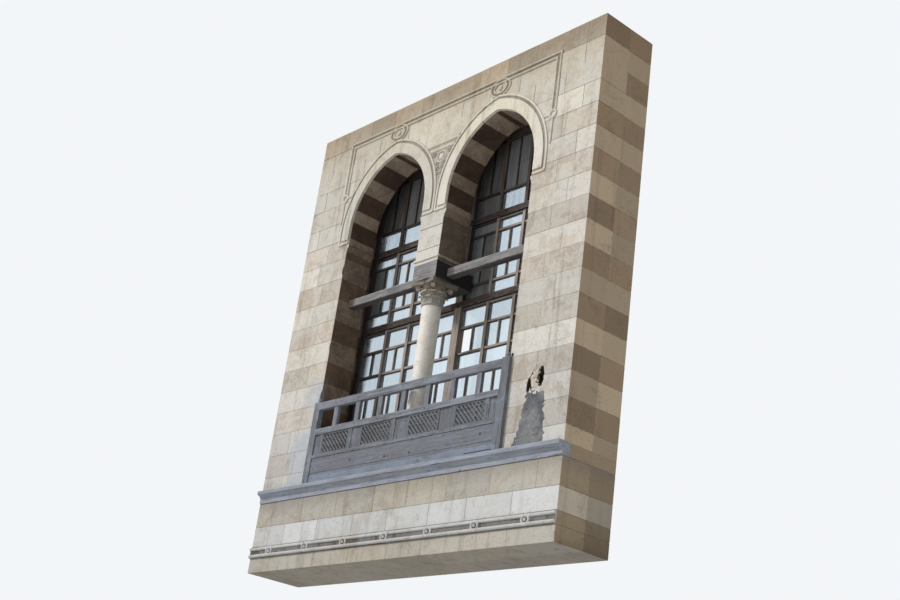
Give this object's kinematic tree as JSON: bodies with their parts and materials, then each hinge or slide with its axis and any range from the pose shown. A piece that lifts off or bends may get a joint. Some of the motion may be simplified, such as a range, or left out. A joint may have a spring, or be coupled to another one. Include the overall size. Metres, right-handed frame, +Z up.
{
  "type": "mashrabiya screen bay",
  "caption": "Stone bay of a corner loggia with pointed arches on a marble column, holding a glazed timber screen, tie bars and a balustrade of diagonal lattice panels.",
  "frame": {"origin": "middle of the flat underside, halfway between the ledge's nosing and the back of the wall", "axes": "+X along the wall to the right as seen from the street, +Y into the building, +Z up"},
  "size_m": [5.62, 0.925, 6.529],
  "materials": {
    "limestone_light": "weathered light limestone, dressed and slightly rough",
    "limestone_tan": "tan limestone with brown patina",
    "marble": "worn white marble, satin",
    "beam_timber": "old dark timber, rough sawn",
    "screen_timber": "brown painted timber, dull and worn",
    "pane_glass": "old window glass, dusty",
    "weathered_timber": "grey weathered timber with traces of blue-grey paint"
  },
  "bodies": {
    "root": {"apron_wall": "limestone_tan", "string_moulding": "limestone_tan", "ledge": "weathered_timber", "left_jamb": "limestone_light", "right_jamb": "limestone_light", "left_back_pier": "limestone_light", "right_back_pier": "limestone_light", "recess_lintel": "limestone_tan", "centre_pier": "limestone_light", "left_impost": "limestone_tan", "centre_impost": "limestone_tan", "right_impost": "limestone_tan", "left_arch_wall": "limestone_light", "right_arch_wall": "limestone_light", "head_wall": "limestone_light", "left_architrave": "limestone_light", "right_architrave": "limestone_light", "frame_moulding": "limestone_light", "column_base": "marble", "column_shaft": "marble", "column_capital": "limestone_tan", "pier_block": "beam_timber", "left_tie_bar": "beam_timber", "right_tie_bar": "beam_timber", "screen_sill": "screen_timber", "screen_head": "screen_timber", "left_stile": "screen_timber", "right_stile": "screen_timber", "screen_post": "screen_timber", "lower_transom": "screen_timber", "upper_transom": "screen_timber", "left_lower_sashes": "screen_timber", "right_lower_sashes": "screen_timber", "left_middle_sashes": "screen_timber", "right_middle_sashes": "screen_timber", "left_upper_lights": "screen_timber", "right_upper_lights": "screen_timber", "left_glass": "pane_glass", "right_glass": "pane_glass", "base_board": "weathered_timber", "bottom_rail": "weathered_timber", "middle_rail": "weathered_timber", "top_rail": "weathered_timber", "left_end_post": "weathered_timber", "right_end_post": "weathered_timber", "balusters": "weathered_timber", "panel_boards": "weathered_timber", "lattice_panel_1": "weathered_timber", "lattice_panel_2": "weathered_timber", "lattice_panel_3": "weathered_timber", "lattice_panel_4": "weathered_timber"}
  },
  "joints": []
}
